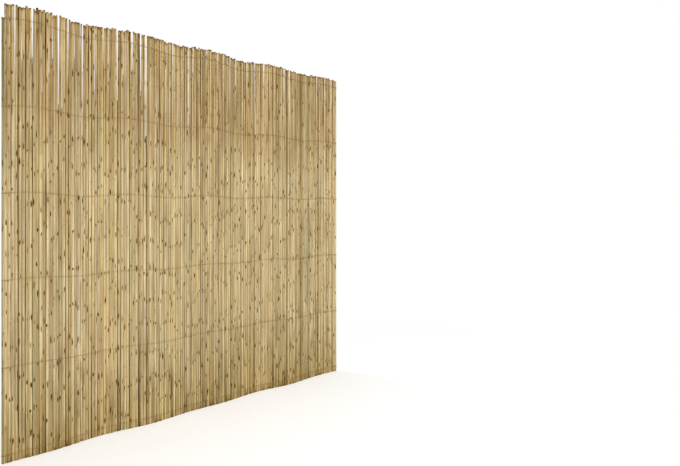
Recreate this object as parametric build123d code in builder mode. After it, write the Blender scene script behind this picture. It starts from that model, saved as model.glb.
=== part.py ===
"""A reed screen: a square mat of upright dry reeds, bound by six rows of wire.

The mat is one wall whose ridges are the reeds. Seen from above its middle line runs in
soft bows. Its foot is cut straight, so every reed stands on the ground. The tops are cut
by hand, so they rise and fall, and gaps between the reeds open towards them.

Each row of binding is a pair of wires, one just above the other. At a few of the lines
between reeds both wires change sides, and at each end of the mat they are bent round the
last reed.

The origin is on the ground below the middle of the mat. +X runs along the mat, +Z is up
the reeds, and the front of the screen faces -Y. Places along the mat are counted from
its left end, and a distance out from its middle line is positive towards the front.
"""

import math
import os
import random

from build123d import *

# The mat, in millimetres
screen_width = 1800.0
reed_height = 1792.0  # mean height of the cut tops
reed_pitch = 12.4  # from one reed to the next
pitch_scatter = 1.8  # how far the line between two reeds strays to either side
short_reed_width = 8.0  # of the reed at the left end
line_thickness = 8.0  # of the mat at the line between two reeds
ridge_rise = 0.21  # how far a reed stands out on each face, over half its width

# The bows of the middle line, seen from above
long_bow_length = 820.0
long_bow_height = 7.0
long_bow_start = 308.0  # where it first stands furthest back
short_bow_length = 410.0
short_bow_height = 7.4
short_bow_start = 398.0

# The cut tops
top_wave_length = 398.0
top_wave_height = 7.0
top_wave_start = 102.0  # where it is first highest
top_scatter = 4.5
top_fall = 16.0  # from the left end to the right
short_reed_drop = 52.0  # the reed at the left end is this much shorter

# The rows of binding wire
wire_rows = 6
first_row_height = 31.0
top_row_depth = 51.0  # below the mean height of the tops
row_wander = 9.0  # how far the top row rises and falls with the tops
wire_diameter = 1.4
wire_clearance = 0.4  # between a wire and the widest reed
pair_gap = 0.6  # between the two wires of a row
wire_run = 60.0  # length of the straight runs that follow the bows
wire_crossings = 3  # places in a row where the wires change sides
turn_length = 2.4  # how far before a crossing or an end a wire turns in
turn_depth = 1.6  # how far it comes in before it turns again
wire_tail = 24.0  # bent back round each end

# The gaps between the reeds
slit_clearance = 1.0  # on each side of a wire that changes sides
slit_reach = 46.0  # above and below the wires
top_slit_depth = 92.0  # below the wires of the top row, where the gaps are open above
bunch_sizes = (1, 1, 2, 2, 3)  # reeds that stay together at the top, near the left end
bunch_growth = 3  # reeds more in a bunch near the right end
top_gap_share = (0.2, 0.68)  # width at the top, of the narrower reed beside it
top_gap_depth = (130.0, 560.0)

# Repeatable scatter
reed_seed = 7
top_seed = 3
gap_seed = 3283


def middle(along):
    """Where the middle line runs, in front of or behind its mean."""
    long_bow = long_bow_height * math.cos(math.tau * (along - long_bow_start) / long_bow_length)
    short_bow = short_bow_height * math.cos(math.tau * (along - short_bow_start) / short_bow_length)
    return long_bow + short_bow


def on_mat(along, out, height=0.0):
    """The point at a distance out from the middle line, square to it."""
    tilt = math.atan(middle(along + 0.5) - middle(along - 0.5))
    return Vector(
        along - screen_width / 2 + out * math.sin(tilt),
        middle(along) - out * math.cos(tilt),
        height,
    )


def reed_lines():
    """The lines between neighbouring reeds, and one near each end of the mat."""
    first = line_thickness / 2
    last = screen_width - line_thickness / 2
    count = round((last - short_reed_width) / reed_pitch)
    pitch = (last - short_reed_width) / count
    scatter = random.Random(reed_seed)
    inner = [
        short_reed_width + pitch * n + scatter.uniform(-pitch_scatter, pitch_scatter)
        for n in range(1, count)
    ]
    return [first, short_reed_width, *inner, last]


def top_wave(along):
    """The rise and fall that the cut tops and the rows of wire share, from -1 to 1."""
    return math.cos(math.tau * (along - top_wave_start) / top_wave_length)


def top_height(along):
    """The height to which the reeds are cut."""
    fall = top_fall * (along / screen_width - 0.5)
    return reed_height - fall + top_wave_height * top_wave(along)


def reed_tops(lines):
    """The height of each reed."""
    scatter = random.Random(top_seed)
    tops = [top_height(along) + scatter.uniform(-top_scatter, top_scatter) for along in lines[:-1]]
    tops[0] -= short_reed_drop
    return tops


def row_height(row, along):
    """The height of a row of wire. Row 1 is at the bottom, and the rows below the top one wander less."""
    row_pitch = (reed_height - top_row_depth - first_row_height) / (wire_rows - 1)
    return first_row_height + (row - 1) * row_pitch + row_wander * row / wire_rows * top_wave(along)


def crossing_lines(lines):
    """The lines between reeds where the wires change sides."""
    wanted = [screen_width * (n + 0.5) / wire_crossings for n in range(wire_crossings)]
    return [min(lines, key=lambda line: abs(line - along)) for along in wanted]


def crest_out(width):
    """How far out from the middle line the crest of a reed lies."""
    return line_thickness / 2 + ridge_rise * width / 2


def draw_ridge(start, end, side):
    """One face of a reed, seen from above."""
    edge = side * line_thickness / 2
    crest = on_mat((start + end) / 2, side * crest_out(end - start))
    ThreePointArc(on_mat(start, edge), crest, on_mat(end, edge))


def draw_side(along):
    """The side of a reed, flat between two reeds and round at the ends of the mat."""
    edge = line_thickness / 2
    if along == line_thickness / 2:
        ThreePointArc(on_mat(along, edge), on_mat(0, 0), on_mat(along, -edge))
    elif along == screen_width - line_thickness / 2:
        ThreePointArc(on_mat(along, edge), on_mat(screen_width, 0), on_mat(along, -edge))
    else:
        Line(on_mat(along, edge), on_mat(along, -edge))


def make_reed(start, end, top):
    """One reed of the mat, up to its own height."""
    with BuildPart() as reed:
        with BuildSketch():
            with BuildLine():
                draw_ridge(start, end, 1)
                draw_ridge(start, end, -1)
                draw_side(start)
                draw_side(end)
            make_face()
        extrude(amount=top)
    return reed.part


def slit(along, height, reach, width):
    """The corners of a gap that is closed above and below, widest in the middle."""
    x = along - screen_width / 2
    return [(x, height - reach), (x + width / 2, height), (x, height + reach), (x - width / 2, height)]


def top_gap(along, foot, height, width):
    """The corners of a gap that opens upwards past the cut tops, with its width at one height."""
    x = along - screen_width / 2
    head = reed_height + top_fall + 2 * (top_wave_height + top_scatter)
    head_width = width * (head - foot) / (height - foot)
    return [(x, foot), (x + head_width / 2, head), (x - head_width / 2, head)]


def wire_gaps(lines):
    """The gaps that the wires pass through."""
    width = wire_diameter + 2 * slit_clearance
    gaps = []
    for along in crossing_lines(lines):
        for row in range(1, wire_rows):
            gaps.append(slit(along, row_height(row, along), slit_reach, width))
        top_row = row_height(wire_rows, along)
        gaps.append(top_gap(along, top_row - top_slit_depth, top_row, width))
    return gaps


def open_top_gaps(lines):
    """The gaps that part the reeds into bunches at the tops. The short reed stands by the next one."""
    scatter = random.Random(gap_seed)
    crossings = crossing_lines(lines)
    gaps = []
    bunch = scatter.choice(bunch_sizes)
    for before, along, after in zip(lines[1:], lines[2:], lines[3:]):
        bunch -= 1
        larger = round(bunch_growth * along / screen_width)
        if along in crossings:
            bunch = scatter.choice(bunch_sizes) + larger
        elif bunch <= 0:
            bunch = scatter.choice(bunch_sizes) + larger
            foot = reed_height - scatter.uniform(*top_gap_depth)
            width = min(along - before, after - along) * scatter.uniform(*top_gap_share)
            gaps.append(top_gap(along, foot, reed_height, width))
    return gaps


def make_mat(lines):
    """The wall of reeds, with the gaps cut through it from front to back."""
    reeds = [make_reed(*reed) for reed in zip(lines, lines[1:], reed_tops(lines))]
    with BuildPart() as reed_mat:
        add(reeds)
        with BuildSketch(Plane.XZ):
            gaps = [*wire_gaps(lines), *open_top_gaps(lines)]
            add([Polygon(*corners, align=None, mode=Mode.PRIVATE) for corners in gaps])
        extrude(amount=long_bow_height + short_bow_height + line_thickness, both=True, mode=Mode.SUBTRACT)
    return reed_mat.part


def face_out(along, side, run):
    """How far out a wire turns on one face, so that its straight runs clear the reeds."""
    widest = crest_out(reed_pitch + 2 * pitch_scatter)
    sag = (middle(along - run / 2) + middle(along + run / 2)) / 2 - middle(along)
    return side * (widest + wire_clearance + wire_diameter / 2 + max(0.0, side * sag))


def crossing_turns(along, side, run):
    """The turns of a wire that goes through the mat from one side to the other."""
    near = face_out(along, side, run)
    far = face_out(along, -side, run)
    deep = side * turn_depth
    turns = [(along - turn_length, near), (along, near - deep)]
    return turns + [(along, far + deep), (along + turn_length, far)]


def end_turns(end, inward, side, run):
    """The turns of a wire that is bent round the end of the mat, from the tip of its tail."""
    near = face_out(end, -side, run)
    far = face_out(end, side, run)
    deep = side * turn_depth
    last_turn = end + inward * turn_length
    beyond = end - inward * (wire_clearance + wire_diameter / 2)
    tip = last_turn + inward * wire_tail
    return [(tip, near), (last_turn, near), (beyond, near + deep), (beyond, far - deep), (last_turn, far)]


def wire_turns(lines, side):
    """All the turns of a wire, as places along the mat and distances out from its middle line."""
    turns = end_turns(0.0, 1, side, wire_run)
    crossings = crossing_lines(lines)
    stops = [0.0, *crossings, screen_width]
    for start, stop in zip(stops, stops[1:]):
        runs = max(1, round((stop - start) / wire_run))
        run = (stop - start) / runs
        for n in range(1, runs):
            along = start + n * run
            turns.append((along, face_out(along, side, run)))
        if stop in crossings:
            turns += crossing_turns(stop, side, run)
            side = -side
    return turns + end_turns(screen_width, -1, side, wire_run)[::-1]


def make_wire(lines, row, side):
    """One wire of a row. The wire that starts at the front is the upper one of the pair."""
    lift = side * (wire_diameter + pair_gap) / 2
    points = [on_mat(along, out, row_height(row, along) + lift) for along, out in wire_turns(lines, side)]
    with BuildPart() as wire:
        with BuildLine() as path:
            Polyline(*points)
        with BuildSketch(path.line ^ 0):
            Circle(wire_diameter / 2)
        sweep(transition=Transition.RIGHT)
    return wire.part


def save(piece, name):
    piece.label = name
    export_step(piece, f"parts/{name}.step")


os.makedirs("parts", exist_ok=True)
all_lines = reed_lines()
save(make_mat(all_lines), "reed_mat")
for row in range(1, wire_rows + 1):
    save(make_wire(all_lines, row, 1), f"row_{row}_upper_wire")
    save(make_wire(all_lines, row, -1), f"row_{row}_lower_wire")
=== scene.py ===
"""Looks of the reed screen: round dry reeds with joints and hollow cut ends, bound by wire.

Lengths are in millimetres until a mesh is made. Places along the mat are counted from its
left end, heights from the ground, and a distance out from the mat's middle line is positive
towards the front, as in the part's source.
"""

import math
import random

import bpy
import numpy as np
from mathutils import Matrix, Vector


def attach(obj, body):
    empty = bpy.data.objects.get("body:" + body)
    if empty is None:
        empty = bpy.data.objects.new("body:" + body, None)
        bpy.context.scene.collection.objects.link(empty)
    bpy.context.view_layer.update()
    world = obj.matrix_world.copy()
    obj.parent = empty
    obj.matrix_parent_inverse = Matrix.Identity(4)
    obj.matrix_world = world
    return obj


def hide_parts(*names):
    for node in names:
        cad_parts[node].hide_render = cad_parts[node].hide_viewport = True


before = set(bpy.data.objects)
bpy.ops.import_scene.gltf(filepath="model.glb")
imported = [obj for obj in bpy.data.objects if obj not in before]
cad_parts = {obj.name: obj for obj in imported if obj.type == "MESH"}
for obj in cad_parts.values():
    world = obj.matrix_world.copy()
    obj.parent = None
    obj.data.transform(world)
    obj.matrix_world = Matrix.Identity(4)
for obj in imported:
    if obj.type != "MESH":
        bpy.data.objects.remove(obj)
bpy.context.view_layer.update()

# The mat, with the names and values of the part's source
SCREEN_WIDTH = 1800.0
REED_HEIGHT = 1792.0
REED_PITCH = 12.4
PITCH_SCATTER = 1.8
SHORT_REED_WIDTH = 8.0
LINE_THICKNESS = 8.0
RIDGE_RISE = 0.21
LONG_BOW_LENGTH, LONG_BOW_HEIGHT, LONG_BOW_START = 820.0, 7.0, 308.0
SHORT_BOW_LENGTH, SHORT_BOW_HEIGHT, SHORT_BOW_START = 410.0, 7.4, 398.0
TOP_WAVE_LENGTH, TOP_WAVE_HEIGHT, TOP_WAVE_START = 398.0, 7.0, 102.0
TOP_SCATTER = 4.5
TOP_FALL = 16.0
SHORT_REED_DROP = 52.0
WIRE_ROWS = 6
FIRST_ROW_HEIGHT = 31.0
TOP_ROW_DEPTH = 51.0
ROW_WANDER = 9.0
WIRE_DIAMETER = 1.4
PAIR_GAP = 0.6
WIRE_CROSSINGS = 3
TURN_LENGTH = 2.4
WIRE_TAIL = 24.0
SLIT_CLEARANCE = 1.0
SLIT_REACH = 46.0
TOP_SLIT_DEPTH = 92.0
BUNCH_SIZES = (1, 1, 2, 2, 3)
BUNCH_GROWTH = 3
TOP_GAP_SHARE = (0.2, 0.68)
TOP_GAP_DEPTH = (130.0, 560.0)
REED_SEED, TOP_SEED, GAP_SEED = 7, 3, 3283

# Worked out from them
METRE = 1000.0
ROW_PITCH = (REED_HEIGHT - TOP_ROW_DEPTH - FIRST_ROW_HEIGHT) / (WIRE_ROWS - 1)
WIRE_RADIUS = WIRE_DIAMETER / 2

# Meshes
REED_SIDES, THIN_SIDES, WIRE_SIDES = 14, 9, 7
WIRE_SAMPLES = 3  # from one point of a wire's route to the next
BUNDLES = 5
SHARP_ANGLE = 48.0  # degrees between faces that are shaded apart
FOOT_RINGS = (12.0, 40.0)
TOP_RINGS = (6.0, 13.0, 22.0)  # below the top of a reed
EVEN_RINGS = 12
RING_GAP = 1.2  # least distance between two rings
DETAIL_SEED, WIRE_SEED = 41, 5
NOISE_REACH = 2200.0  # for which slow noise has values

# The reeds
REED_TAPER = 0.05  # how much narrower a reed is at the top
REED_SWAY, SWAY_STEP = 0.35, 400.0  # how much of its room, to the front or back, a reed uses
REED_BORE, THIN_BORE = (0.7, 0.8), 0.6  # width of the hollow, as a share of the reed's
TOP_GAP_WIDTH, WIRE_GAP_WIDTH = 0.9, 0.55  # as shares of those in the part's source
GROUP_SHARE = 0.22  # of the reeds start a new group, which shares the spacings of its joints

# Joints
JOINT_SPACING = (85.0, 170.0)
GROUP_SPACINGS = 16  # after which the spacings repeat
FIRST_JOINT, JOINT_DRIFT, DRIFT_REEDS = 50.0, 80.0, 4.0  # mean height, and its drift over reeds
JOINT_SCATTER = 20.0
JOINT_MARGIN = 14.0  # least distance from a joint to a cut end
JOINT_STEP = 3.6  # from a joint to the rings beside it
JOINT_SWELL, SWELL_REACH = 0.055, 2.6
JOINT_WAIST, WAIST_REACH = 0.02, 2.0  # just below a joint
JOINT_DARK_REACH = 2.4

# Cut ends
FOOT_CUT = (-1.5, 2.6)  # above the ground; a reed that would reach below it stands on it
HOLLOW_DEPTHS = (9.0, 26.0)  # of the rings inside a cut end
HOLLOW_TAPER = 0.96  # of the deeper one
HOLLOW_SHADE = (0.15, 0.25, 0.85, 1.0)  # painted shade inside a cut end, from the rim inwards
FOOT_STAIN = 40.0
SHORT_ENDS = 0.8  # share of the reeds whose stain at the top is short and strong
SHORT_END, LONG_END = ((9.0, 20.0), (0.65, 1.1)), ((20.0, 60.0), (0.35, 0.7))  # length, darkness

# The seams between the reeds
FLUSH_SHARE, DEEP_SHARE = 0.45, 0.88  # a draw below these puts a thin reed at the face or inside
SEAM_REACH = 1.5  # how far a seam sways to either side
GAP_SEAM_SHARE = 0.4  # of that, where it opens into a gap
SEAM_SWAY_STEPS, SEAM_WIDTH_STEPS = (380.0, 800.0), (110.0, 260.0)
SEAM_BASE = {"flush": (0.8, 1.4), "deep": (0.3, 0.95)}  # half width
SEAM_CHANGE = {"flush": 0.4, "deep": 0.95}
THIN_OUT = {"flush": (2.7, 3.2), "deep": (0.9, 1.5)}
THIN_DROP = 9.0  # how much lower a thin reed may end than the reeds beside it
THIN_SHIFT = 35.0  # of its first joint
THIN_RINGS = (60.0, 130.0)  # below its top
# painted shade on the sides of a thin reed
THIN_SEAM_SHADE = (0.05, 0.3)
DEEP_RADIUS = (0.7, 2.1)
GAP_REACH = (-10.0, 25.0)  # how far it reaches above the foot of a gap
THIN_TIP, GAP_TIP = 0.9, 0.4  # width of a thin reed's tip, and of one that ends below a gap
TIP_LENGTH = 150.0
NARROW_GAP = 2.6  # half width at the top, up to which a pale thin reed fills a gap in front
FILL_RADIUS, FILL_OVERLAP = (1.0, 2.7), 0.7
FILL_DEPTH = 0.3  # below the crests of the reeds

# Leaf scars and stains: low pointed blisters on the reeds
SCAR_WIDTHS = (0.35, 0.95, 1.0, 0.72, 0.38, 0.06)  # from the foot of a scar to its point
SCAR_FADE = (0.35, 0.9, 1.0, 1.0, 0.85, 0.5)
SCAR_COLUMNS = 5
SCAR_FOOT = 0.28  # share of its length that lies below its joint
SCAR_ROOM = (0.3, 0.75)  # shares of its length that it needs below and above
SCAR_MARGIN = 4.0  # from there to the ends of the reed
SCAR_BITE = 0.06  # how far its edge lies in the reed
POINT_DOWN_LEAN = -0.1  # scars that lean further than this point down
SECOND_SCARS = 0.75  # share of the joints with a scar on both faces
SCAR_HEIGHTS = (-3.0, 8.0)  # above a joint
SCAR_LENGTHS, THIN_SCAR_LENGTHS = (13.0, 38.0), (9.0, 20.0)
SCAR_SHARE, THIN_SCAR_SHARE = 0.97, 0.45
UPPER_SCARS = (0.74, 0.6)  # above this share of the height, this share of the scars is left
STAIN_COUNTS = (2, 3, 4, 5, 6)
STAIN_LENGTHS = (45.0, 150.0)
STAIN_ZONES = ((0.0, 0.2), (0.0, 0.2), (0.0, 1.0), (0.72, 1.0), (0.86, 1.0))  # shares of the height

# Tints, on a scale where 1 is the colour of clean straw
MEAN_TINT, BEST_TINT, TINT_SPREAD = 0.97, 1.09, 0.1
WARMTH, BLUE_SHARE = (-0.002, 0.014), 2.2  # mean and spread; blue loses more than red gains
TINT_RANGE = (0.3, 1.18)
TINT_CAP = (1.13, 1.14, 1.17)
GAP_LIGHT, GAP_LIGHT_CAP = 0.32, 1.24  # painted light on the side of a reed at an open gap, where light comes through
REED_KINDS = (  # upper limit of a draw, and the colour by which the straw is multiplied
    (0.17, (1.07, 1.09, 1.13)),  # pale
    (0.22, (0.9, 0.96, 0.93)),  # greenish
    (0.34, (0.99, 0.95, 0.95)),  # pinkish
    (0.37, (0.95, 0.88, 0.8)),  # orange
    (0.47, (0.8, 0.77, 0.68)),  # brown
)
PAINTED_FOLD_BANDS = (  # painted shade and light of the mat's folds: place and reach as shares of the width, and how dark or, below 0, how pale
    (0.043, 0.02, 0.1), (0.14, 0.02, 0.06), (0.24, 0.06, -0.06), (0.32, 0.022, 0.1),
    (0.42, 0.02, 0.08), (0.475, 0.02, 0.12), (0.57, 0.018, 0.07), (0.69, 0.05, -0.07),
    (0.757, 0.02, 0.12), (0.85, 0.02, 0.06), (0.985, 0.02, -0.09),
)
RIGHT_DARK, RIGHT_START, RIGHT_LENGTH = 0.055, 0.3, 0.3  # how the mat darkens to the right
FIRST_TINT, LAST_TINT = (0.6, 0.65, 0.66), (1.14, 1.14, 1.16)
# The first darkens a deep thin reed as painted shade in its seam
DEEP_SHADE_TINT, FILL_TINT = (0.36, 0.285, 0.17), (1.08, 1.1, 1.14)
JOINT_CHANGE = 0.06  # of the tint from one joint to the next
TINT_DRIFTS = ((0.12, 170.0), (0.13, 430.0))  # how much, and over what length
WARM_DRIFT, WARM_STEP = (0.02, 0.0, -0.06), 420.0
LEAF_SHARE, LEAF_LENGTHS, LEAF_DARK = 0.35, (50.0, 120.0), 0.14  # remains of leaf above joints
WORN_FOOT, WORN_START, WORN_LENGTH, WORN_TOP = 420.0, 1350.0, 300.0, 0.7
WORN_CONTRAST = (0.68, 0.78, 1.15)  # how much more reeds differ where they are worn

# Painted shade in the lines beside a reed, and the reed's stains
SEAM_SHADE_BASE, SEAM_SHADE_CHANGE, SEAM_SHADE_STEP = 0.14, 0.2, 260.0
FOOT_SEAM_SHADE, FOOT_SEAM_SHADE_TOP = 0.3, 340.0
HEAD_SEAM_SHADE, HEAD_SEAM_SHADE_START, HEAD_SEAM_SHADE_LENGTH = 0.2, 0.72, 0.2  # from a share of the height up
JOINT_DARKS, FOOT_DARKS = (0.0, 0.3), (0.0, 0.75)

# The wires
TAIL_STRAY = 2.0
FIRST_STITCH, STITCHES = (2, 3), (2, 3, 3)  # reeds up to the next dip
STITCH_DEPTH, REST_DEPTH = (0.9, 1.5), (0.1, 0.5)  # below the crests, between two reeds
STITCH_STRAY, REST_STRAY, CREST_STRAY = 0.8, 0.4, 0.35
CREST_LIFT = 0.05
CROSSING_TURN, CROSSING_DEPTH = 1.0, 1.6

# Colours, of 0 to 255
STRAW, PALE_STRAW, PATCHED_STRAW = (203, 178, 127), (229, 214, 171), (182, 151, 100)
# The first is the darkest brown: of scars and stains, and of the painted shade in seams and cut
# ends
SCAR_AND_SHADE_BROWN, RUST = (76, 49, 6), (112, 76, 24)
WIRE_TAN, WIRE_BROWN = (184, 156, 108), (158, 127, 80)

# Camera and light, in metres and watts
CAMERA_SPOT = (-1.4436, -2.4560, 0.9943)
CAMERA_DIRECTION = (0.69592, 0.71812, 0.0)
CAMERA_LENS, CAMERA_SENSOR, CAMERA_SHIFT = 29.095, 36.0, -0.0347
CAMERA_REACH = 200.0
FLOOR_REACH = 40.0
FLOOR_GLOW = 0.34  # added to what the camera sees of the floor, near the screen
FLOOR_OVAL, FLOOR_FADE = (0.62, 1.0, 1.0), (0.6, 1.7)  # round the screen, where it turns white
SKY_LIGHT = 0.5
LAMPS = (  # name, spot, target, diameter and power
    ("key", (1.0, -4.0, 2.9), (0.0, 0.0, 0.9), 1.6, 100.0),
    ("fill", (-3.4, -2.6, 2.2), (0.0, 0.0, 0.8), 2.4, 30.0),
    ("back", (-1.0, 3.6, 3.0), (0.0, 0.0, 0.9), 2.4, 55.0),
)


def middle(along):
    """Where the middle line of the mat runs, in front of or behind its mean."""
    long_bow = LONG_BOW_HEIGHT * np.cos(math.tau * (along - LONG_BOW_START) / LONG_BOW_LENGTH)
    short_bow = SHORT_BOW_HEIGHT * np.cos(math.tau * (along - SHORT_BOW_START) / SHORT_BOW_LENGTH)
    return long_bow + short_bow


def place(along, out, height, centre=None):
    """Points of the mat in metres. With a centre, the frame is that of the middle line there."""
    at = along if centre is None else centre
    tilt = np.arctan(middle(at + 0.5) - middle(at - 0.5))
    beyond = along - at
    x = at - SCREEN_WIDTH / 2 + beyond * np.cos(tilt) + out * np.sin(tilt)
    y = middle(at) + beyond * np.sin(tilt) - out * np.cos(tilt)
    return np.stack(np.broadcast_arrays(x, y, height), axis=-1) / METRE


def reed_lines():
    """The lines between neighbouring reeds, and one near each end of the mat."""
    first = LINE_THICKNESS / 2
    last = SCREEN_WIDTH - LINE_THICKNESS / 2
    count = round((last - SHORT_REED_WIDTH) / REED_PITCH)
    pitch = (last - SHORT_REED_WIDTH) / count
    scatter = random.Random(REED_SEED)
    inner = [
        SHORT_REED_WIDTH + pitch * n + scatter.uniform(-PITCH_SCATTER, PITCH_SCATTER)
        for n in range(1, count)
    ]
    return [first, SHORT_REED_WIDTH, *inner, last]


def top_wave(along):
    """The rise and fall that the cut tops and the rows of wire share, from -1 to 1."""
    return math.cos(math.tau * (along - TOP_WAVE_START) / TOP_WAVE_LENGTH)


def top_height(along):
    """The height to which the reeds are cut."""
    fall = TOP_FALL * (along / SCREEN_WIDTH - 0.5)
    return REED_HEIGHT - fall + TOP_WAVE_HEIGHT * top_wave(along)


def reed_tops(lines):
    """The height of each reed."""
    scatter = random.Random(TOP_SEED)
    tops = [top_height(along) + scatter.uniform(-TOP_SCATTER, TOP_SCATTER) for along in lines[:-1]]
    tops[0] -= SHORT_REED_DROP
    return tops


def row_height(row, along):
    """The height of a row of wire. Row 1 is at the bottom."""
    wander = ROW_WANDER * row / WIRE_ROWS * top_wave(along)
    return FIRST_ROW_HEIGHT + (row - 1) * ROW_PITCH + wander


def crossing_lines(lines):
    """The lines between reeds where the wires change sides."""
    wanted = [SCREEN_WIDTH * (n + 0.5) / WIRE_CROSSINGS for n in range(WIRE_CROSSINGS)]
    return [min(lines, key=lambda line: abs(line - along)) for along in wanted]


def crest_out(width):
    """How far out from the middle line the crest of a reed lies."""
    return LINE_THICKNESS / 2 + RIDGE_RISE * width / 2


def slit(height, width):
    """Heights and half widths of a gap for a wire, closed above and below."""
    return [height - SLIT_REACH, height, height + SLIT_REACH], [0.0, width / 2, 0.0]


def top_gap(foot, height, width):
    """Heights and half widths of a gap that is open at the top."""
    head = REED_HEIGHT + TOP_FALL + 2 * (TOP_WAVE_HEIGHT + TOP_SCATTER)
    return [foot, head], [0.0, width * (head - foot) / (height - foot) / 2]


def find_gaps(lines):
    """The gaps of each line between reeds, drawn in the order of the part's source."""
    scatter = random.Random(GAP_SEED)
    crossings = crossing_lines(lines)
    gaps = {}
    width = WIRE_DIAMETER + 2 * SLIT_CLEARANCE
    for along in crossings:
        gaps[along] = [slit(row_height(row, along), width) for row in range(1, WIRE_ROWS)]
        top_row = row_height(WIRE_ROWS, along)
        gaps[along].append(top_gap(top_row - TOP_SLIT_DEPTH, top_row, width))
    bunch = scatter.choice(BUNCH_SIZES)
    for before, along, after in zip(lines[1:], lines[2:], lines[3:]):
        bunch -= 1
        larger = round(BUNCH_GROWTH * along / SCREEN_WIDTH)
        if along in crossings:
            bunch = scatter.choice(BUNCH_SIZES) + larger
        elif bunch <= 0:
            bunch = scatter.choice(BUNCH_SIZES) + larger
            foot = REED_HEIGHT - scatter.uniform(*TOP_GAP_DEPTH)
            gap_width = min(along - before, after - along) * scatter.uniform(*TOP_GAP_SHARE)
            gaps[along] = [top_gap(foot, REED_HEIGHT, gap_width)]
    return gaps


class Soup:
    """The points and faces of one piece, with three values for its material at each point.

    Tint multiplies the colour of the straw, dark goes from 0 to 1 for stains, scars and the
    painted shade in the seams between reeds and inside the cut ends, and grain tells the reeds
    apart.
    """

    def __init__(self):
        self.points = []
        self.faces = []
        self.tint = []
        self.dark = []
        self.grain = []
        self.count = 0

    def add(self, points, faces, tint, dark, grain):
        points = np.asarray(points).reshape(-1, 3)
        self.faces.extend((np.asarray(faces) + self.count).tolist())
        self.points.append(points)
        self.tint.append(np.broadcast_to(tint, (len(points), 3)))
        self.dark.append(np.broadcast_to(dark, (len(points),)))
        self.grain.append(np.broadcast_to(grain, (len(points),)))
        self.count += len(points)

    def add_grid(self, grid, tint, dark, grain, wrap=True):
        """A grid of rings, closed round each ring when it wraps."""
        rings, sides = grid.shape[:2]
        tint = np.broadcast_to(tint, (rings, sides, 3)).reshape(-1, 3)
        dark = np.broadcast_to(dark, (rings, sides)).reshape(-1)
        ring = np.arange(rings - 1)[:, None] * sides
        side = np.arange(sides if wrap else sides - 1)[None, :]
        after = (side + 1) % sides
        below, above = ring, ring + sides
        quads = np.stack([below + side, below + after, above + after, above + side], axis=-1)
        self.add(grid, quads.reshape(-1, 4), tint, dark, grain)

    def make(self, name, material, slot, nodes):
        """The piece as an object that stands for some nodes."""
        mesh = bpy.data.meshes.new(name)
        mesh.from_pydata(np.concatenate(self.points).tolist(), [], self.faces)
        mesh.update()
        tint = mesh.attributes.new("tint", "FLOAT_COLOR", "POINT")
        rgba = np.ones((self.count, 4), dtype=np.float32)
        rgba[:, :3] = np.concatenate(self.tint)
        tint.data.foreach_set("color", rgba.ravel())
        for label, values in (("dark", self.dark), ("grain", self.grain)):
            attribute = mesh.attributes.new(label, "FLOAT", "POINT")
            attribute.data.foreach_set("value", np.concatenate(values).astype(np.float32))
        mesh.shade_smooth()
        mesh.set_sharp_from_angle(angle=math.radians(SHARP_ANGLE))
        mesh.materials.append(material)
        piece = bpy.data.objects.new(name, mesh)
        bpy.context.scene.collection.objects.link(piece)
        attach(piece, "root")
        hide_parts(*nodes)


def slow_noise(scatter, step):
    """A slow random line from -1 to 1, with a new value every step."""
    knots = np.array([scatter.uniform(-1, 1) for _ in range(int(NOISE_REACH / step) + 3)])

    def noise(places):
        at = np.asarray(places) / step
        low = np.clip(at.astype(int), 0, len(knots) - 2)
        part = np.clip(at - low, 0.0, 1.0)
        part = part * part * (3 - 2 * part)
        return knots[low] * (1 - part) + knots[low + 1] * part

    return noise


def bell(off, reach):
    """1 where there is no offset, falling smoothly to about a third at the reach."""
    return np.exp(-((off / reach) ** 2))


def draw_spacings(scatter):
    """The spacings of the joints, which the reeds of a group share."""
    return [scatter.uniform(*JOINT_SPACING) for _ in range(GROUP_SPACINGS)]


def joint_heights(scatter, spacings, start, top):
    """The heights of the joints of one reed."""
    heights = []
    height = start
    n = 0
    while height < top:
        joint = height + scatter.uniform(-JOINT_SCATTER, JOINT_SCATTER)
        if JOINT_MARGIN < joint < top - JOINT_MARGIN:
            heights.append(joint)
        height += spacings[n % len(spacings)]
        n += 1
    return heights


def ring_heights(top, joints, stops):
    """The heights of the rings of a reed, closer together at its joints and ends."""
    heights = [0.0, top, *FOOT_RINGS, *stops]
    heights += [top * n / EVEN_RINGS for n in range(1, EVEN_RINGS)]
    heights += [joint + step for joint in joints for step in (-JOINT_STEP, 0.0, JOINT_STEP)]
    heights += [top - depth for depth in TOP_RINGS]
    heights = sorted(height for height in heights if 0 <= height <= top)
    kept = [heights[0]]
    for height in heights[1:]:
        if height - kept[-1] > RING_GAP:
            kept.append(height)
    kept[-1] = top
    return np.array(kept)


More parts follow.
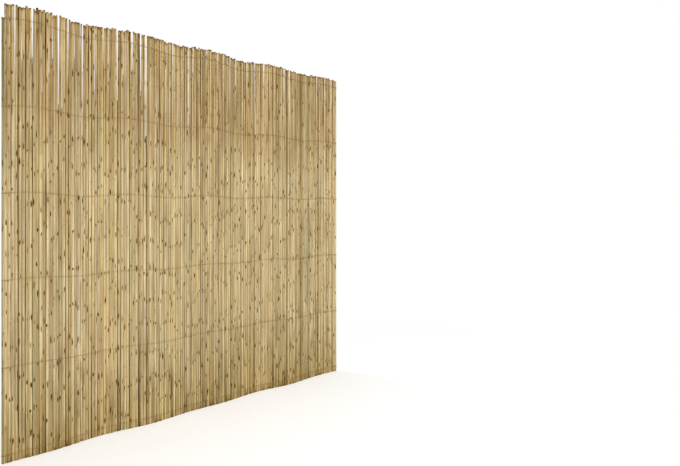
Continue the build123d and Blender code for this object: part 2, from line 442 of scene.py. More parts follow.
def add_reed(soup, reed):
    """One hollow reed with its joints and both cut ends."""
    heights = reed["heights"]
    sides = reed["sides"]
    grain = reed["grain"]
    bore = reed["bore"]
    last = len(heights) - 1
    angle = np.arange(sides) * math.tau / sides
    swell = np.ones_like(heights)
    dark = np.zeros_like(heights)
    for joint in reed["joints"]:
        off = heights - joint
        waist = JOINT_WAIST * bell(off + JOINT_STEP, WAIST_REACH)
        swell += JOINT_SWELL * bell(off, SWELL_REACH) - waist
        dark = np.maximum(dark, reed["ring_dark"] * bell(off, JOINT_DARK_REACH))
    half_along = reed["half_along"] * swell
    half_out = reed["half_out"] * swell

    def ring(n, scale=1.0, drop=0.0):
        lean = reed["cut_lean"] if n == last else 0.0
        return place(
            reed["centre"][n] + half_along[n] * scale * np.cos(angle),
            reed["out"][n] + half_out[n] * scale * np.sin(angle),
            heights[n] - drop - lean * (1 + np.cos(angle - reed["cut_turn"])) * 0.5,
            reed["at"],
        )

    end_dark = np.clip(1 - (heights[-1] - heights) / reed["end_length"], 0, 1) * reed["end_dark"]
    foot_dark = np.clip(1 - heights / FOOT_STAIN, 0, 1) * reed["foot_dark"]
    dark = np.maximum(np.maximum(dark, end_dark), foot_dark)
    across = np.cos(angle[None, :])
    # Painted shade on the sides of the reed that face closed seams
    closed = np.where(across < 0, reed["closed_left"][:, None], reed["closed_right"][:, None])
    seam_shade = reed["seam_shade"][:, None] * across**4 * closed
    # Painted light on the sides of the reed that face an open gap
    painted_gap_light = 1 + GAP_LIGHT * across**2 * (1 - closed)
    tint = np.minimum(reed["tint"][:, None, :] * painted_gap_light[:, :, None], GAP_LIGHT_CAP)
    rings = np.stack([ring(n) for n in range(last + 1)])
    soup.add_grid(rings, tint, np.maximum(dark[:, None], seam_shade), grain)

    shallow, deep = HOLLOW_DEPTHS
    order = np.arange(sides)
    fan = np.stack([order, (order + 1) % sides, np.full(sides, sides)], axis=-1)
    # Inside each cut end, painted shade deepens from the rim to the floor of the hollow
    for n, way in ((last, 1), (0, -1)):
        floor = ring(n, bore * HOLLOW_TAPER, way * deep)
        hollow = np.stack([ring(n), ring(n, bore), ring(n, bore, way * shallow), floor])
        shade = np.array(HOLLOW_SHADE)[:, None]
        soup.add_grid(hollow[::way], reed["tint"][n], shade[::way], grain)
        points = np.concatenate([floor, floor.mean(axis=0, keepdims=True)])
        soup.add(points, fan[:, ::way], reed["tint"][n], 1.0, grain)


def add_blister(soup, reed, height, turn, length, spread, lift, shade, lean=0.0):
    """A leaf scar or a stain: a low pointed blister on the face of a reed."""
    widths = np.array(SCAR_WIDTHS if lean > POINT_DOWN_LEAN else SCAR_WIDTHS[::-1])[:, None]
    up = np.linspace(0.0, 1.0, len(widths))[:, None]
    across = np.linspace(-1.0, 1.0, SCAR_COLUMNS)[None, :]
    angle = turn + lean * (up - 0.4) + spread * widths * across
    dome = np.sin(math.pi * np.clip(up * 0.86 + 0.12, 0, 1))
    rise = lift * (1 - across**2) * dome - SCAR_BITE
    n = int(np.argmin(abs(reed["heights"] - height)))
    grid = place(
        reed["centre"][n] + (reed["half_along"][n] * 1.02 + rise) * np.cos(angle),
        reed["out"][n] + (reed["half_out"][n] * 1.02 + rise) * np.sin(angle),
        height - SCAR_FOOT * length + up * length,
        reed["at"],
    )
    dark = shade * (1.08 - 0.6 * across**2) * np.array(SCAR_FADE)[:, None]
    soup.add_grid(grid, reed["tint"][n], dark, reed["grain"], wrap=False)


def add_scars(soup, reed, scatter, share, lengths):
    """Leaf scars at the joints of a reed, by turns towards the front and the back."""
    top = reed["heights"][-1]
    upper, upper_share = UPPER_SCARS
    side = math.pi / 2 + scatter.uniform(-0.75, 0.75) + math.pi * scatter.randint(0, 1)
    for number, joint in enumerate(reed["joints"]):
        turns = [side + math.pi * number + scatter.uniform(-0.3, 0.3)]
        if scatter.random() < SECOND_SCARS:
            turns.append(turns[0] + math.pi + scatter.uniform(-0.6, 0.6))
        for turn in turns:
            length = scatter.uniform(*lengths)
            highest = top - SCAR_ROOM[1] * length - SCAR_MARGIN
            height = min(joint + scatter.uniform(*SCAR_HEIGHTS), highest)
            if scatter.random() < share * (1.0 if joint < upper * top else upper_share):
                spread = scatter.uniform(0.32, 0.7)
                lift = scatter.uniform(0.35, 0.7)
                shade = scatter.uniform(0.68, 1.15)
                lean = scatter.uniform(-0.3, 0.3)
                add_blister(soup, reed, height, turn, length, spread, lift, shade, lean)


def add_stains(soup, reed, scatter, count):
    """Long narrow stains on a reed, most of them low down or near the top."""
    top = reed["heights"][-1]
    for _ in range(count):
        length = scatter.uniform(*STAIN_LENGTHS)
        height = top * scatter.uniform(*scatter.choice(STAIN_ZONES))
        lowest = SCAR_ROOM[0] * length + SCAR_MARGIN
        height = min(max(height, lowest), top - SCAR_ROOM[1] * length - SCAR_MARGIN)
        turn = scatter.choice((0.5, 1.5)) * math.pi + scatter.uniform(-1.1, 1.1)
        spread = scatter.uniform(0.12, 0.34)
        lift = scatter.uniform(0.2, 0.35)
        shade = scatter.uniform(0.5, 1.0)
        add_blister(soup, reed, height, turn, length, spread, lift, shade)


def reed_tint(scatter, along):
    """The tint of one reed."""
    kind = scatter.random()
    value = BEST_TINT - abs(scatter.gauss(0.0, TINT_SPREAD))
    warm = scatter.gauss(*WARMTH)
    tint = np.array([value * (1 + warm), value, value * (1 - BLUE_SHARE * warm)])
    for limit, factor in REED_KINDS:
        if kind < limit:
            tint *= factor
            break
    share = along / SCREEN_WIDTH
    # painted shade and light of the mat's folds
    for centre, reach, depth in PAINTED_FOLD_BANDS:
        tint *= 1 - depth * math.exp(-(((share - centre) / reach) ** 2))
    tint *= 1 - RIGHT_DARK * min(max((share - RIGHT_START) / RIGHT_LENGTH, 0.0), 1.0)
    return np.clip(tint, *TINT_RANGE)


def tints_along(scatter, heights, joints, base):
    """The tint of a reed at each height: steps at its joints, remains of leaf, and slow drift."""
    steps = [1 + scatter.uniform(-JOINT_CHANGE, JOINT_CHANGE) for _ in range(len(joints) + 1)]
    drift = 1.0
    for amount, step in TINT_DRIFTS:
        drift = drift + amount * slow_noise(scatter, step)(heights)
    value = np.array(steps)[np.searchsorted(joints, heights)] * drift
    for joint in joints:
        if scatter.random() < LEAF_SHARE:
            above = (heights - joint) / scatter.uniform(*LEAF_LENGTHS)
            value = value * np.where(above > 0.01, 1 - LEAF_DARK * np.clip(1 - above, 0, 1), 1.0)
    warm = slow_noise(scatter, WARM_STEP)(heights)
    tint = base * value[:, None] * (1 + np.array(WARM_DRIFT) * warm[:, None])
    worn = np.clip(1 - heights / WORN_FOOT, 0, 1)
    worn = worn + WORN_TOP * np.clip((heights - WORN_START) / WORN_LENGTH, 0, 1)
    contrast = worn[:, None] * np.array(WORN_CONTRAST)
    tint = tint * (np.maximum(tint[:, 1:2], 0.1) / 0.98) ** contrast
    return np.minimum(tint, TINT_CAP)


def seam_kinds(lines, crossings, scatter):
    """What lies in each line between reeds: a thin reed at the face, one deep inside, or none."""
    kinds = {}
    for along in lines[1:-1]:
        draw = scatter.random()
        if along in crossings:
            kinds[along] = "crossing"
        elif draw < FLUSH_SHARE:
            kinds[along] = "flush"
        elif draw < DEEP_SHARE:
            kinds[along] = "deep"
        else:
            kinds[along] = "closed"
    return kinds


def make_seams(lines, scatter):
    """The seam at each line, with its gaps, how it sways and how wide it is."""
    gaps = find_gaps(lines)
    kinds = seam_kinds(lines, crossing_lines(lines), scatter)
    seams = []
    for along in lines:
        kind = kinds.get(along, "end")
        reach = 0.0 if kind in ("crossing", "end") else SEAM_REACH
        if along in gaps:
            reach *= GAP_SEAM_SHARE
        sway = slow_noise(scatter, scatter.uniform(*SEAM_SWAY_STEPS))
        noise = slow_noise(scatter, scatter.uniform(*SEAM_WIDTH_STEPS))
        bases = {key: scatter.uniform(*span) for key, span in SEAM_BASE.items()}
        seams.append({
            "along": along,
            "kind": kind,
            "gaps": gaps.get(along, []),
            "sway": sway,
            "reach": reach,
            "noise": noise,
            "base": bases.get(kind, 0.0),
            "change": SEAM_CHANGE.get(kind, 0.0),
        })
    return seams


def half_gap(seam, heights):
    """Half the width of a seam's gap at each height."""
    half = np.zeros_like(heights)
    for stops, widths in seam["gaps"]:
        half = np.maximum(half, np.interp(heights, stops, widths, left=0.0))
    return half


def seam_place(seam, heights):
    """The place of a seam along the mat at each height."""
    return seam["along"] + seam["reach"] * seam["sway"](heights)


def seam_margin(seam, heights):
    """Half the width of a seam at each height, its gap included."""
    margin = np.maximum(seam["base"] + seam["change"] * seam["noise"](heights), 0.0)
    share = WIRE_GAP_WIDTH if seam["kind"] == "crossing" else TOP_GAP_WIDTH
    return np.maximum(margin, half_gap(seam, heights) * share)


def seam_painted_shade(heights, top, noise):
    """Painted shade in the lines beside a reed, darker at the foot and near the top."""
    foot = np.clip(1 - heights / FOOT_SEAM_SHADE_TOP, 0.0, 1.0)
    head = np.clip((heights - HEAD_SEAM_SHADE_START * top) / (HEAD_SEAM_SHADE_LENGTH * top), 0.0, 1.0)
    return np.clip(SEAM_SHADE_BASE + SEAM_SHADE_CHANGE * noise + FOOT_SEAM_SHADE * foot + HEAD_SEAM_SHADE * head, 0.0, 1.0)


def form_reed(left_seam, right_seam, top, spacings, first_joint, last_tint, scatter):
    """The form and tints of the reed between two seams, made a little unlike the last one."""
    start, end = left_seam["along"], right_seam["along"]
    first = left_seam["kind"] == "end"
    last = right_seam["kind"] == "end"
    joints = joint_heights(scatter, spacings, first_joint, top)
    gaps = left_seam["gaps"] + right_seam["gaps"]
    heights = ring_heights(top, joints, [stop for stops, _ in gaps for stop in stops])
    heights[0] = 0.0 if first else max(0.0, scatter.uniform(*FOOT_CUT))
    left = seam_place(left_seam, heights) + seam_margin(left_seam, heights)
    right = seam_place(right_seam, heights) - seam_margin(right_seam, heights)
    if first:
        left = np.zeros_like(heights)
    if last:
        right = np.full_like(heights, SCREEN_WIDTH)
    taper = 1 - REED_TAPER * (heights / top) ** 2
    crest = crest_out(end - start)
    half_along = (right - left) / 2 * taper
    half_out = crest * taper * np.clip(0.5 + half_along / (end - start), 0.0, 1.0)
    at = (start + end) / 2
    drawn_tint = reed_tint(scatter, at) * (1 - 0.5 * (last_tint - MEAN_TINT))
    tint = drawn_tint
    if first:
        tint = np.array(FIRST_TINT)
    if last:
        tint = np.array(LAST_TINT)
    end_lengths, end_darks = SHORT_END if scatter.random() < SHORT_ENDS else LONG_END
    return {
        "at": at,
        "heights": heights,
        "joints": joints,
        "sides": REED_SIDES,
        "half_along": half_along,
        "half_out": half_out,
        "centre": (left + right) / 2,
        "out": REED_SWAY * slow_noise(scatter, SWAY_STEP)(heights) * (crest - half_out + 0.3),
        "drawn_tint": drawn_tint[1],
        "tint": tints_along(scatter, heights, joints, tint),
        "grain": scatter.random(),
        "ring_dark": scatter.uniform(*JOINT_DARKS),
        # painted shade in the seams beside the reed
        "seam_shade": seam_painted_shade(heights, top, slow_noise(scatter, SEAM_SHADE_STEP)(heights)),
        "closed_left": np.clip(1 - half_gap(left_seam, heights), 0.0, 1.0),
        "closed_right": np.clip(1 - half_gap(right_seam, heights), 0.0, 1.0),
        "end_length": scatter.uniform(*end_lengths),
        "end_dark": scatter.uniform(*end_darks),
        "foot_dark": scatter.uniform(*FOOT_DARKS),
        "cut_lean": scatter.uniform(0.2, 2.4),
        "cut_turn": scatter.uniform(0, math.tau),
        "bore": scatter.uniform(*REED_BORE),
    }


def add_thin_reeds(soup, seam, neighbour, top, spacings, first_joint, scatter):
    """The thin reeds in a seam, one near each face.

    They end where the seam opens into a gap, but one on the front fills a narrow gap.
    """
    along = seam["along"]
    deep = seam["kind"] == "deep"
    gap_foot = gap_half = None
    if seam["gaps"]:
        (gap_foot, _), (_, gap_half) = seam["gaps"][0]
    for face in (1.0, -1.0):
        fills = gap_half is not None and gap_half < NARROW_GAP and face > 0
        out = scatter.uniform(*THIN_OUT[seam["kind"]])
        tip = THIN_TIP
        thin_top = top - scatter.uniform(0.0, THIN_DROP)
        if gap_foot is not None and not fills:
            thin_top = gap_foot + scatter.uniform(*GAP_REACH)
            tip = GAP_TIP
        joints = joint_heights(scatter, spacings, first_joint + THIN_SHIFT, thin_top)
        heights = ring_heights(thin_top, joints, [thin_top - depth for depth in THIN_RINGS])
        shape = 1 - (1 - tip) * np.clip(1 - (thin_top - heights) / TIP_LENGTH, 0, 1) ** 1.5
        margin = seam["base"] + seam["change"] * np.maximum(seam["noise"](heights), 0.0)
        # painted shade on the sides of the thin reed, left off where it fills a gap
        seam_shade = scatter.uniform(*THIN_SEAM_SHADE)
        tint = reed_tint(scatter, along)
        if deep:
            radius = np.clip(margin + 0.3, *DEEP_RADIUS) * shape
            # painted shade: a deep thin reed is darkened to stand for the shade in its seam
            tint = tint * DEEP_SHADE_TINT
        else:
            room = crest_out(REED_PITCH) - out - 0.1
            radius = np.minimum(room, 0.75 * margin + 1.1) * shape
        if fills:
            tint = np.clip(reed_tint(scatter, along) * FILL_TINT, 0.5, 1.22)
            radius = np.clip(half_gap(seam, heights) + FILL_OVERLAP, *FILL_RADIUS)
            out = crest_out(REED_PITCH) - FILL_DEPTH - radius
        closed = np.full_like(heights, 0.0 if fills else 1.0)
        thin = neighbour | {
            "at": along,
            "heights": heights,
            "joints": joints,
            "sides": THIN_SIDES,
            "half_along": radius,
            "half_out": radius,
            "centre": seam_place(seam, heights),
            "out": face * (out + 0 * heights),
            "tint": tints_along(scatter, heights, joints, tint),
            "grain": scatter.random(),
            "seam_shade": np.full_like(heights, seam_shade),
            "closed_left": closed,
            "closed_right": closed,
            "cut_lean": scatter.uniform(0.2, 1.2),
            "bore": THIN_BORE,
        }
        add_reed(soup, thin)
        if not deep:
            add_scars(soup, thin, scatter, THIN_SCAR_SHARE, THIN_SCAR_LENGTHS)


def make_reeds(lines, material):
    """All the reeds, in bundles from left to right."""
    scatter = random.Random(DETAIL_SEED)
    tops = reed_tops(lines)
    seams = make_seams(lines, scatter)
    drift = slow_noise(scatter, DRIFT_REEDS)
    spacings = draw_spacings(scatter)
    soups = [Soup() for _ in range(BUNDLES)]
    last_tint = MEAN_TINT
    for n, top in enumerate(tops):
        if scatter.random() < GROUP_SHARE:
            spacings = draw_spacings(scatter)
        soup = soups[n * BUNDLES // len(tops)]
        first_joint = FIRST_JOINT + JOINT_DRIFT * float(drift(n))
        first_joint += scatter.uniform(-JOINT_SCATTER, JOINT_SCATTER)
        seam = seams[n + 1]
        reed = form_reed(seams[n], seam, top, spacings, first_joint, last_tint, scatter)
        last_tint = reed["drawn_tint"]
        add_reed(soup, reed)
        add_scars(soup, reed, scatter, SCAR_SHARE, SCAR_LENGTHS)
        add_stains(soup, reed, scatter, scatter.choice(STAIN_COUNTS))
        if seam["kind"] in ("flush", "deep"):
            lower_top = min(top, tops[n + 1])
            add_thin_reeds(soup, seam, reed, lower_top, spacings, first_joint, scatter)
    for number, soup in enumerate(soups, 1):
        soup.make(f"reeds_{number}", material, "reed", ["reed_mat"])


def through(points, samples):
    """A smooth line through points."""
    points = np.asarray(points)
    before = 2 * points[:1] - points[1:2]
    after = 2 * points[-1:] - points[-2:-1]
    padded = np.concatenate([before, points, after])
    part = np.linspace(0, 1, samples, endpoint=False)[:, None]
    line = []
    for a, b, c, d in zip(padded, padded[1:], padded[2:], padded[3:]):
        square = (2 * a - 5 * b + 4 * c - d) * part**2
        cube = (3 * b - a - 3 * c + d) * part**3
        line.append(0.5 * (2 * b + (c - a) * part + square + cube))
    return np.concatenate([*line, points[-1:]])


def wire_end(end, inward, side, over):
    """A wire's way round an end of the mat, from the tip of its tail to its other face.

    Each point is a place along the mat and a distance out. Over is that of a wire on the
    reeds' crests.
    """
    return [
        (end + inward * (TURN_LENGTH + WIRE_TAIL), -side * (over + 0.5)),
        (end + inward * 14.0, -side * (over + 0.2)),
        (end + inward * 5.0, -side * (over - 0.2)),
        (end + inward * 0.2, -side * 3.6),
        (end - inward * WIRE_RADIUS, 0.0),
        (end + inward * 0.2, side * 3.6),
    ]


def wire_route(lines, row, side, scatter):
    """Places of a wire that is pulled tight over the reeds, with a dip at each stitch."""
    lift = side * (WIRE_DIAMETER + PAIR_GAP) / 2
    crossings = crossing_lines(lines)
    over = crest_out(REED_PITCH) + WIRE_RADIUS
    points = []

    def at(along, out, up=0.0):
        points.append(place(along, out, row_height(row, along) + lift + up))

    tail, *turns = wire_end(0.0, 1, side, over)
    at(*tail, scatter.uniform(-TAIL_STRAY, TAIL_STRAY))
    for turn in turns:
        at(*turn)
    stitch = scatter.choice(FIRST_STITCH)
    for start, end in zip(lines, lines[1:]):
        crest = crest_out(end - start) + WIRE_RADIUS
        stray = scatter.uniform(-CREST_STRAY, CREST_STRAY)
        at((start + end) / 2, side * (crest + CREST_LIFT), stray)
        if end == lines[-1]:
            break
        if end in crossings:
            at(end - CROSSING_TURN, side * (crest - CROSSING_DEPTH))
            at(end, 0.0)
            at(end + CROSSING_TURN, -side * (crest - CROSSING_DEPTH))
            side = -side
            continue
        stitch -= 1
        depths, most = REST_DEPTH, REST_STRAY
        if stitch == 0:
            stitch = scatter.choice(STITCHES)
            depths, most = STITCH_DEPTH, STITCH_STRAY
        depth = scatter.uniform(*depths)
        at(end, side * (over - depth), scatter.uniform(-most, most))
    tail, *turns = wire_end(SCREEN_WIDTH, -1, side, over)
    for turn in reversed(turns):
        at(*turn)
    at(*tail, scatter.uniform(-TAIL_STRAY, TAIL_STRAY))
    return through(points, WIRE_SAMPLES)


def add_wire(soup, route, scatter):
    """A round wire along a route, with closed ends."""
    radius = WIRE_RADIUS / METRE
    ahead = np.gradient(route, axis=0)
    ahead /= np.linalg.norm(ahead, axis=1, keepdims=True)
    across = np.cross(ahead, (0.0, 0.0, 1.0))
    across /= np.linalg.norm(across, axis=1, keepdims=True)
    rise = np.cross(across, ahead)
    angle = np.arange(WIRE_SIDES) * math.tau / WIRE_SIDES
    grid = (
        route[:, None, :]
        + radius * np.cos(angle)[None, :, None] * across[:, None, :]
        + radius * np.sin(angle)[None, :, None] * rise[:, None, :]
    )
    first_cap = np.stack([np.broadcast_to(route[0], grid[0].shape), grid[0]])
    last_cap = np.stack([grid[-1], np.broadcast_to(route[-1], grid[0].shape)])
    grain = scatter.random()
    for rings, dark in ((grid, 0.0), (first_cap, 0.3), (last_cap, 0.3)):
        soup.add_grid(rings, (1, 1, 1), dark, grain)


def make_wires(lines, material):
    """The two wires of each row. The one that starts at the front is the upper one."""
    scatter = random.Random(WIRE_SEED)
    for row in range(1, WIRE_ROWS + 1):
        for side, which in ((1, "upper"), (-1, "lower")):
            soup = Soup()
            add_wire(soup, wire_route(lines, row, side, scatter), scatter)
            soup.make(f"row_{row}_{which}_binding", material, "wire", [f"row_{row}_{which}_wire"])


class Nodes:
    """Short names for making the nodes of a material or of the world."""

    def __init__(self, owner, shader="Principled BSDF", output="Material Output"):
        owner.use_nodes = True
        self.tree = owner.node_tree
        self.shader = self.tree.nodes[shader]
        self.output = self.tree.nodes[output]

    def new(self, kind, **values):
        node = self.tree.nodes.new(kind)
        for key, value in values.items():
            setattr(node, key, value)
        return node

    def link(self, source, target):
        self.tree.links.new(source, target)

    def feed(self, value, socket):
        """Link a value to a socket, or set the socket to a number or a colour."""
        if hasattr(value, "node"):
            self.link(value, socket)
        elif socket.type == "RGBA":
            socket.default_value = (*value, 1.0)
        else:
            socket.default_value = value

    def feed_shader(self, **values):
        """Feed sockets of the shader, whose names have _ for each space."""
        for name, value in values.items():
            self.feed(value, self.shader.inputs[name.replace("_", " ")])

    def attribute(self, name, output="Fac"):
        return self.new("ShaderNodeAttribute", attribute_name=name).outputs[output]

    def where(self):
        """The place on the object, in metres."""
        return self.new("ShaderNodeTexCoord").outputs["Object"]

    def scaled(self, scale):
        """The place on the object, scaled."""
        mapping = self.new("ShaderNodeMapping")
        mapping.inputs["Scale"].default_value = scale
        self.link(self.where(), mapping.inputs["Vector"])
        return mapping.outputs["Vector"]

    def maths(self, operation, a, b=0.0):
        node = self.new("ShaderNodeMath", operation=operation)
        self.feed(a, node.inputs[0])
        self.feed(b, node.inputs[1])
        return node.outputs[0]

    def noise(self, across, along, detail, roughness, shift=None):
        """Noise with a scale across the reeds and one along them, moved from reed to reed."""
        vector = self.scaled((across, across, along))
        if shift is not None:
            combine = self.new("ShaderNodeCombineXYZ")
            self.link(self.maths("MULTIPLY", shift, 37.0), combine.inputs["Z"])
            add = self.new("ShaderNodeVectorMath", operation="ADD")
            self.link(vector, add.inputs[0])
            self.link(combine.outputs[0], add.inputs[1])
            vector = add.outputs[0]
        node = self.new("ShaderNodeTexNoise")
        self.link(vector, node.inputs["Vector"])
        for name, value in (("Scale", 1.0), ("Detail", detail), ("Roughness", roughness)):
            node.inputs[name].default_value = value
        return node.outputs["Fac"]

    def span(self, value, low, high, out_low=0.0, out_high=1.0):
        """A value from low to high, spread from one number to another and kept between them."""
        node = self.new("ShaderNodeMapRange", clamp=True)
        self.link(value, node.inputs["Value"])
        numbers = {"From Min": low, "From Max": high, "To Min": out_low, "To Max": out_high}
        for name, number in numbers.items():
            node.inputs[name].default_value = number
        return node.outputs["Result"]

    def mix(self, factor, a, b, blend="MIX"):
        node = self.new("ShaderNodeMix", data_type="RGBA", blend_type=blend, clamp_factor=True)
        for name, kind, value in (("Factor", "VALUE", factor), ("A", "RGBA", a), ("B", "RGBA", b)):
            self.feed(value, next(s for s in node.inputs if (s.name, s.type) == (name, kind)))
        return next(s for s in node.outputs if s.type == "RGBA")

    def multiply(self, a, b):
        """One colour times another."""
        return self.mix(1.0, a, b, "MULTIPLY")

    def grey(self, value):
        node = self.new("ShaderNodeCombineColor")
        for socket in node.inputs[:3]:
            self.link(value, socket)
        return node.outputs[0]

    def bump(self, height, strength, distance):
        node = self.new("ShaderNodeBump")
        node.inputs["Strength"].default_value = strength
        node.inputs["Distance"].default_value = distance
        self.link(height, node.inputs["Height"])
        self.link(node.outputs["Normal"], self.shader.inputs["Normal"])

    def seen(self):
        """1 for rays that the camera, a mirror or glass sends, and 0 for light on the object."""
        path = self.new("ShaderNodeLightPath")
        seen = self.maths("MAXIMUM", path.outputs["Is Camera Ray"], path.outputs["Is Glossy Ray"])
        return self.maths("MAXIMUM", seen, path.outputs["Is Transmission Ray"])


def srgb(colour):
    """A colour of 0 to 255, as the shader wants it."""
    values = [c / 255.0 for c in colour]
    return tuple(c / 12.92 if c <= 0.04045 else ((c + 0.055) / 1.055) ** 2.4 for c in values)


def rust_near_wires(nodes, axes, patch):
    """Rust that has run onto the reeds along each row of wire, from 0 to 1."""
    x, z = axes.outputs["X"], axes.outputs["Z"]
    pitch = ROW_PITCH / METRE
    foot = FIRST_ROW_HEIGHT / METRE
    start = nodes.maths("ADD", x, (SCREEN_WIDTH / 2 - TOP_WAVE_START) / METRE)
    turns = nodes.maths("MULTIPLY", start, math.tau / (TOP_WAVE_LENGTH / METRE))
    row = nodes.maths("ROUND", nodes.maths("DIVIDE", nodes.maths("SUBTRACT", z, foot), pitch))
    wander = nodes.maths("MULTIPLY", nodes.maths("ADD", row, 1.0), ROW_WANDER / WIRE_ROWS / METRE)
    rise = nodes.maths("MULTIPLY", wander, nodes.maths("COSINE", turns))
    level = nodes.maths("ADD", nodes.maths("MULTIPLY", row, pitch), foot)
    off = nodes.maths("ABSOLUTE", nodes.maths("SUBTRACT", z, nodes.maths("ADD", level, rise)))
    patches = nodes.span(patch, 0.36, 0.6, 0.15, 1.0)
    near = nodes.maths("MULTIPLY", nodes.span(off, 0.001, 0.0075, 1.0, 0.0), patches)
    return nodes.maths("MULTIPLY", near, nodes.span(x, -0.9, 0.9, 0.14, 0.34))


def reed_material():
    """Dry straw: streaked along the reeds, browner at the foot and top, stained and scarred, with
    painted shade in its seams and cut ends.
    """
    material = bpy.data.materials.new("dry_reed")
    nodes = Nodes(material)
    grain = nodes.attribute("grain")
    fine = nodes.noise(900.0, 9.0, 3.0, 0.6, grain)
    streak = nodes.noise(260.0, 3.5, 2.0, 0.5, grain)
    patch = nodes.noise(30.0, 7.0, 4.0, 0.6, grain)
    broad = nodes.noise(5.0, 4.0, 3.0, 0.5)
    spots = nodes.noise(160.0, 45.0, 2.0, 0.5, grain)
    axes = nodes.new("ShaderNodeSeparateXYZ")
    nodes.link(nodes.where(), axes.inputs[0])

    straw = nodes.mix(nodes.span(streak, 0.35, 0.65), srgb(STRAW), srgb(PALE_STRAW))
    straw = nodes.mix(nodes.span(patch, 0.42, 0.78, 0.0, 0.55), straw, srgb(PATCHED_STRAW))
    straw = nodes.multiply(straw, nodes.attribute("tint", "Color"))
    straw = nodes.multiply(straw, nodes.grey(nodes.span(fine, 0.3, 0.7, 0.86, 1.08)))
    uneven = nodes.maths("MULTIPLY", nodes.maths("SUBTRACT", broad, 0.5), 0.35)
    height = nodes.maths("ADD", axes.outputs["Z"], uneven)
    upper = nodes.span(height, 1.14, 1.4, 0.0, 0.8)
    straw = nodes.mix(upper, straw, nodes.multiply(straw, (0.78, 0.71, 0.61)))
    lower = nodes.span(height, 0.03, 0.34, 0.62, 0.0)
    straw = nodes.mix(lower, straw, nodes.multiply(straw, (0.8, 0.74, 0.53)))

    spotted = nodes.span(spots, 0.66, 0.76, 0.0, 0.5)
    # The dark attribute holds stains and scars, and the painted shade in the seams and cut ends
    stain_and_shade = nodes.maths("MAXIMUM", nodes.attribute("dark"), spotted)
    mottled = nodes.maths("MULTIPLY", stain_and_shade, nodes.span(fine, 0.2, 0.6, 0.75, 1.0))
    brown = nodes.multiply(straw, (0.66, 0.53, 0.31))
    colour = nodes.mix(nodes.span(mottled, 0.0, 0.55), straw, brown)
    colour = nodes.mix(nodes.span(mottled, 0.35, 0.95), colour, srgb(SCAR_AND_SHADE_BROWN))
    colour = nodes.mix(rust_near_wires(nodes, axes, patch), colour, srgb(RUST))
    roughness = nodes.span(streak, 0.3, 0.7, 0.6, 0.8)
    nodes.feed_shader(Base_Color=colour, Roughness=roughness, Specular_IOR_Level=0.06)
    nodes.bump(nodes.maths("ADD", fine, nodes.maths("MULTIPLY", streak, 0.8)), 0.35, 0.0006)
    return material


def wire_material():
    """Thin wire, dull and weathered to olive brown."""
    material = bpy.data.materials.new("weathered_wire")
    nodes = Nodes(material)
    patch = nodes.noise(70.0, 70.0, 3.0, 0.6)
    fine = nodes.noise(900.0, 900.0, 2.0, 0.5)
    colour = nodes.mix(nodes.span(patch, 0.4, 0.62), srgb(WIRE_TAN), srgb(WIRE_BROWN))
    colour = nodes.multiply(colour, nodes.grey(nodes.span(fine, 0.3, 0.7, 0.8, 1.15)))
    roughness = nodes.span(patch, 0.35, 0.65, 0.45, 0.7)
    nodes.feed_shader(Base_Color=colour, Roughness=roughness)
    nodes.feed_shader(Metallic=0.1, Specular_IOR_Level=0.2)
    nodes.bump(fine, 0.3, 0.0002)
    return material


def floor_material():
    """Pale grey that keeps the shadow of the screen, and turns white further out."""
    material = bpy.data.materials.new("pale_floor")
    nodes = Nodes(material)
    patch = nodes.span(nodes.noise(0.8, 0.8, 2.0, 0.55), 0.3, 0.7)
    colour = nodes.mix(patch, (0.8, 0.8, 0.8), (0.82, 0.82, 0.82))
    nodes.feed_shader(Base_Color=colour, Roughness=0.9, Specular_IOR_Level=0.1)
    seen = nodes.seen()
    glow = nodes.new("ShaderNodeEmission")
    nodes.feed((1, 1, 1), glow.inputs["Color"])
    nodes.feed(nodes.maths("MULTIPLY", seen, FLOOR_GLOW), glow.inputs["Strength"])
    near = nodes.new("ShaderNodeAddShader")
    nodes.link(nodes.shader.outputs[0], near.inputs[0])
    nodes.link(glow.outputs[0], near.inputs[1])
    white = nodes.new("ShaderNodeEmission")
    nodes.feed((1, 1, 1), white.inputs["Color"])
    reach = nodes.new("ShaderNodeVectorMath", operation="LENGTH")
    nodes.link(nodes.scaled(FLOOR_OVAL), reach.inputs[0])
    far = nodes.span(reach.outputs["Value"], *FLOOR_FADE)
    fade = nodes.new("ShaderNodeMixShader")
    nodes.link(nodes.maths("MULTIPLY", seen, far), fade.inputs[0])
    nodes.link(near.outputs[0], fade.inputs[1])
    nodes.link(white.outputs[0], fade.inputs[2])
    nodes.link(fade.outputs[0], nodes.output.inputs["Surface"])
    return material


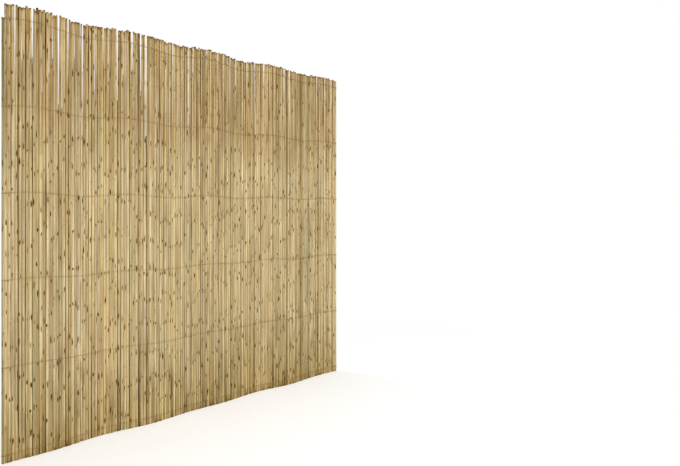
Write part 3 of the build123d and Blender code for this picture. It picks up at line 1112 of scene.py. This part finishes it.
def make_floor():
    """The floor that the screen stands on."""
    reach = FLOOR_REACH
    corners = [(-reach, -reach, 0), (reach, -reach, 0), (reach, reach, 0), (-reach, reach, 0)]
    mesh = bpy.data.meshes.new("floor")
    mesh.from_pydata(corners, [], [(0, 1, 2, 3)])
    mesh.materials.append(floor_material())
    floor = bpy.data.objects.new("floor", mesh)
    bpy.context.scene.collection.objects.link(floor)


def make_world():
    """Soft light from all sides, in front of what the camera sees as plain white."""
    world = bpy.data.worlds.new("studio")
    bpy.context.scene.world = world
    nodes = Nodes(world, "Background", "World Output")
    nodes.feed_shader(Color=(1, 1, 1), Strength=SKY_LIGHT)
    white = nodes.new("ShaderNodeBackground")
    nodes.feed((1, 1, 1), white.inputs["Color"])
    nodes.feed(1.0, white.inputs["Strength"])
    mix = nodes.new("ShaderNodeMixShader")
    nodes.link(nodes.seen(), mix.inputs[0])
    nodes.link(nodes.shader.outputs[0], mix.inputs[1])
    nodes.link(white.outputs[0], mix.inputs[2])
    nodes.link(mix.outputs[0], nodes.output.inputs[0])


def aim(thing, spot, direction):
    """Put a lamp or camera at a spot, facing a direction."""
    thing.location = spot
    thing.rotation_euler = Vector(direction).to_track_quat("-Z", "Y").to_euler()


def make_lamps():
    """Round soft lamps in front of the screen and behind it."""
    for name, spot, target, size, power in LAMPS:
        light = bpy.data.lights.new(name, "AREA")
        light.shape = "DISK"
        light.size = size
        light.energy = power
        lamp = bpy.data.objects.new(name, light)
        bpy.context.scene.collection.objects.link(lamp)
        aim(lamp, spot, [b - a for a, b in zip(spot, target)])


def make_camera():
    """The camera, at the photograph's viewing angle."""
    data = bpy.data.cameras.new("camera")
    data.lens = CAMERA_LENS
    data.sensor_width = CAMERA_SENSOR
    data.sensor_fit = "HORIZONTAL"
    data.shift_y = CAMERA_SHIFT
    data.clip_end = CAMERA_REACH
    camera = bpy.data.objects.new("camera", data)
    bpy.context.scene.collection.objects.link(camera)
    aim(camera, CAMERA_SPOT, CAMERA_DIRECTION)
    bpy.context.scene.camera = camera


make_camera()
mat_lines = reed_lines()
make_reeds(mat_lines, reed_material())
make_wires(mat_lines, wire_material())
make_floor()
make_world()
make_lamps()
bpy.context.scene.view_settings.view_transform = "Standard"
